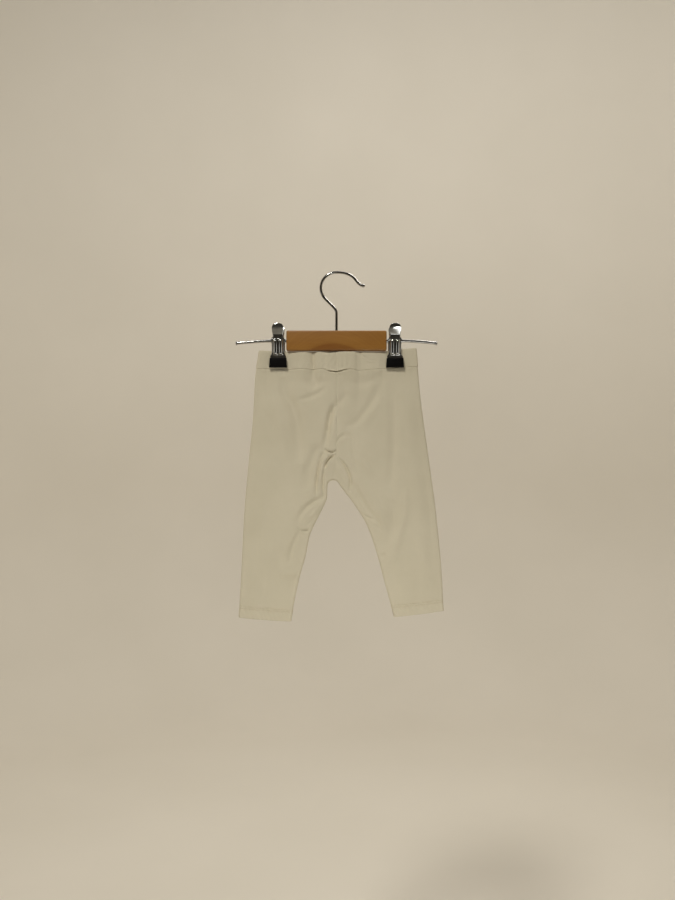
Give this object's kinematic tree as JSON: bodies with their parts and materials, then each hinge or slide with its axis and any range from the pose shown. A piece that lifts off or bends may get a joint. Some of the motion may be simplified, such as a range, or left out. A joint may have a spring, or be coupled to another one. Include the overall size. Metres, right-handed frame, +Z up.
{
  "type": "leggings on a clip hanger",
  "caption": "Baby leggings in plain jersey with an elastic waistband, hung flat from a wooden clip hanger by two sprung clips.",
  "frame": {"origin": "the highest point inside the hook's curve, where the hanger hangs on a rail or peg", "axes": "+Z up, -Y is the front of the leggings, +X is the wearer's left"},
  "size_m": [0.2704, 0.0284, 0.4555],
  "materials": {
    "jersey": "undyed matt cotton jersey",
    "beech": "satin varnish",
    "chrome": "bright nickel plating",
    "rubber": "smooth black rubber"
  },
  "bodies": {
    "root": {"right_leg": "jersey", "left_leg": "jersey", "waistband": "jersey", "hanger_bar": "beech", "hanger_rod": "chrome", "hanger_hook": "chrome", "right_clip_front_jaw": "chrome", "right_clip_back_jaw": "chrome", "right_clip_spring": "chrome", "right_clip_front_pad": "rubber", "right_clip_back_pad": "rubber", "left_clip_front_jaw": "chrome", "left_clip_back_jaw": "chrome", "left_clip_spring": "chrome", "left_clip_front_pad": "rubber", "left_clip_back_pad": "rubber"}
  },
  "joints": []
}
